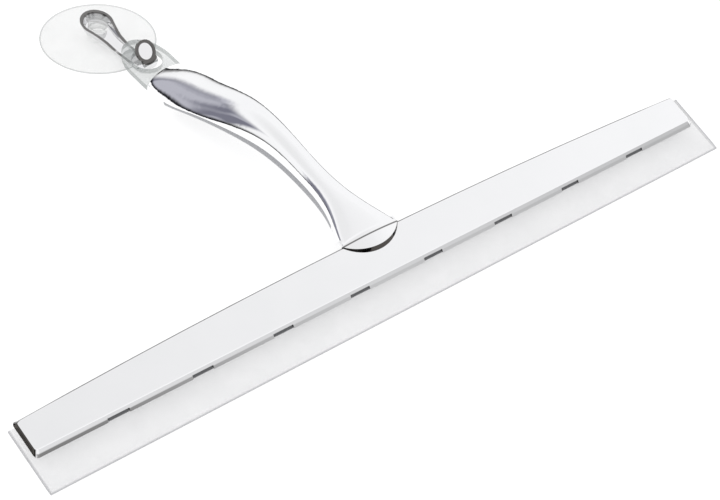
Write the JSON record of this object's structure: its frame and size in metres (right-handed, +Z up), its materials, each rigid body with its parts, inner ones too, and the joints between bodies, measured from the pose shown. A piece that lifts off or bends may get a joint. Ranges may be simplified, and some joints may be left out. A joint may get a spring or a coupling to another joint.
{
  "type": "window squeegee with suction hook",
  "caption": "Wide flat squeegee with a clear blade, bowed chromed head, curved chromed grip, and a swivelling hook on a clear suction cup.",
  "frame": {"origin": "middle of the footprint, on the surface that the object lies on", "axes": "+X along the head, +Y from the blade's edge to the suction cup, +Z up out of the surface"},
  "size_m": [0.3574, 0.2492, 0.0295],
  "materials": {
    "chrome_plate": "polished",
    "clear_pvc_blade": "satin",
    "carrier_plastic": "satin",
    "underside_plastic": "satin",
    "clear_tab": "polished",
    "chromed_steel": "polished",
    "screw_steel": "satin",
    "clear_pvc_cup": "polished"
  },
  "bodies": {
    "suction_cup": {"suction_cup": "clear_pvc_cup"},
    "hook": {"hook": "chromed_steel"},
    "squeegee": {"head_cover": "chrome_plate", "blade": "clear_pvc_blade", "blade_carrier": "carrier_plastic", "foot_screws": "screw_steel", "grip_shell": "chrome_plate", "grip_underside": "underside_plastic", "grip_screws": "screw_steel", "hanging_tab": "clear_tab", "tab_pin": "screw_steel"}
  },
  "joints": [
    {"name": "hook_swivel", "type": "hinge", "parent": "suction_cup", "child": "hook", "pos_m": [-0.00551, 0.09764, 0.0052], "axis": [0, 0, 1], "continuous": true},
    {"name": "lift_off", "type": "slide", "parent": "hook", "child": "squeegee", "axis": [0, 0, 1], "range_m": [0, 0.04]}
  ]
}
